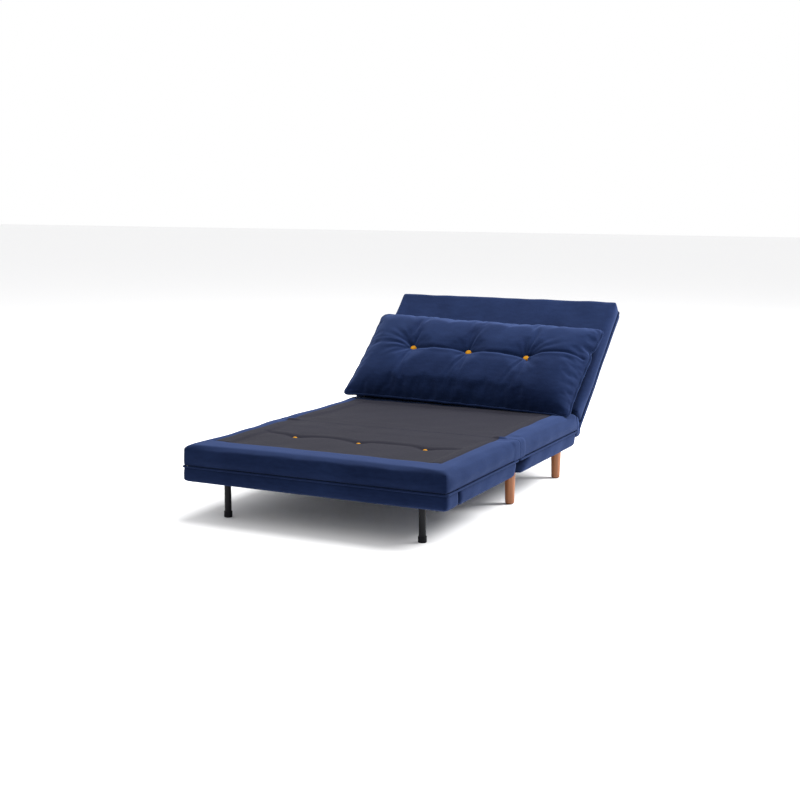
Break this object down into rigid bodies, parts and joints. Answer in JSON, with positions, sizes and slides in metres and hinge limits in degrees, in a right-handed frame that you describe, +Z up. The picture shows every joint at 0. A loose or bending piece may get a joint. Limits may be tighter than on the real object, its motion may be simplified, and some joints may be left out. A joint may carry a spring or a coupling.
{
  "type": "futon sofa bed",
  "caption": "Fold-out sofa bed: a front section that unfolds onto folding metal legs, a base on wooden legs, a reclining backrest and a loose buttoned cushion.",
  "frame": {"origin": "on the floor, at the middle of the whole part's width and length as stored: unfolded, with the backrest reclined", "axes": "+X to the right of someone facing the part from the foot end, +Y from the foot end towards the backrest, +Z up"},
  "size_m": [1.0566, 1.8558, 0.6843],
  "materials": {
    "navy_velvet": "matte",
    "charcoal_lining": "matte",
    "mustard_buttons": "matte",
    "leg_wood": "satin",
    "frame_timber": "matte",
    "black_metal": "satin",
    "black_plastic": "matte",
    "zinc_steel": "satin"
  },
  "bodies": {
    "base": {"base_mattress": "navy_velvet", "base_border": "navy_velvet", "base_lower_pad": "navy_velvet", "base_piping": "navy_velvet", "base_lining": "charcoal_lining", "base_left_rail": "frame_timber", "base_right_rail": "frame_timber", "base_front_rail": "frame_timber", "base_rear_rail": "frame_timber", "base_slats": "frame_timber", "wooden_leg_front_left": "leg_wood", "wooden_leg_front_right": "leg_wood", "wooden_leg_rear_left": "leg_wood", "wooden_leg_rear_right": "leg_wood", "leg_glides": "black_plastic", "leg_hanger_bolts": "zinc_steel", "fold_hinge_base_leaves": "zinc_steel", "base_screws": "zinc_steel", "recliner_left_plate": "black_metal", "recliner_right_plate": "black_metal"},
    "front_section": {"front_mattress": "navy_velvet", "front_border": "navy_velvet", "front_lower_pad": "navy_velvet", "front_edge_pad": "navy_velvet", "front_piping": "navy_velvet", "front_lining": "charcoal_lining", "lining_tufts": "mustard_buttons", "seat_buttons": "mustard_buttons", "front_left_rail": "frame_timber", "front_right_rail": "frame_timber", "front_fold_rail": "frame_timber", "front_cross_rail": "frame_timber", "front_leg_rail": "frame_timber", "front_slats": "frame_timber", "fold_hinge_front_leaves": "zinc_steel", "fold_hinge_pins": "zinc_steel", "front_hinge_screws": "zinc_steel", "left_leg_bracket": "black_metal", "right_leg_bracket": "black_metal"},
    "left_leg": {"left_leg_tube": "black_metal", "left_leg_cap": "black_plastic", "left_leg_pin": "zinc_steel"},
    "right_leg": {"right_leg_tube": "black_metal", "right_leg_cap": "black_plastic", "right_leg_pin": "zinc_steel"},
    "backrest": {"back_front_pad": "navy_velvet", "back_rear_pad": "navy_velvet", "back_piping": "navy_velvet", "back_left_rail": "frame_timber", "back_right_rail": "frame_timber", "back_top_rail": "frame_timber", "back_bottom_rail": "frame_timber", "back_slats": "frame_timber", "recliner_left_arm": "black_metal", "recliner_right_arm": "black_metal", "recliner_pivot_pins": "zinc_steel", "recliner_arm_screws": "zinc_steel"},
    "cushion": {"cushion_body": "navy_velvet", "cushion_piping": "navy_velvet", "cushion_buttons": "mustard_buttons"}
  },
  "joints": [
    {"name": "front_fold", "type": "hinge", "parent": "base", "child": "front_section", "pos_m": [0, -0.2803, 0.2685], "axis": [-1, 0, 0], "range_deg": [0, 180]},
    {"name": "back_recline", "type": "hinge", "parent": "base", "child": "backrest", "pos_m": [0, 0.3732, 0.253], "axis": [1, 0, 0], "range_deg": [-40, 32]},
    {"name": "left_leg_fold", "type": "hinge", "parent": "front_section", "child": "left_leg", "pos_m": [-0.388, -0.8323, 0.164], "axis": [0, -1, 0], "range_deg": [0, 90]},
    {"name": "right_leg_fold", "type": "hinge", "parent": "front_section", "child": "right_leg", "pos_m": [0.388, -0.8323, 0.164], "axis": [0, 1, 0], "range_deg": [0, 90]},
    {"name": "cushion_slide", "type": "slide", "parent": "backrest", "child": "cushion", "axis": [0, 0.766, 0.6428], "range_m": [0, 0.145]}
  ],
  "couplings": [
    {"joint": "left_leg_fold", "follows": "front_fold", "ratio": 0.5},
    {"joint": "right_leg_fold", "follows": "front_fold", "ratio": 0.5},
    {"joint": "cushion_slide", "follows": "front_fold", "m_per_rad": 0.046154}
  ]
}
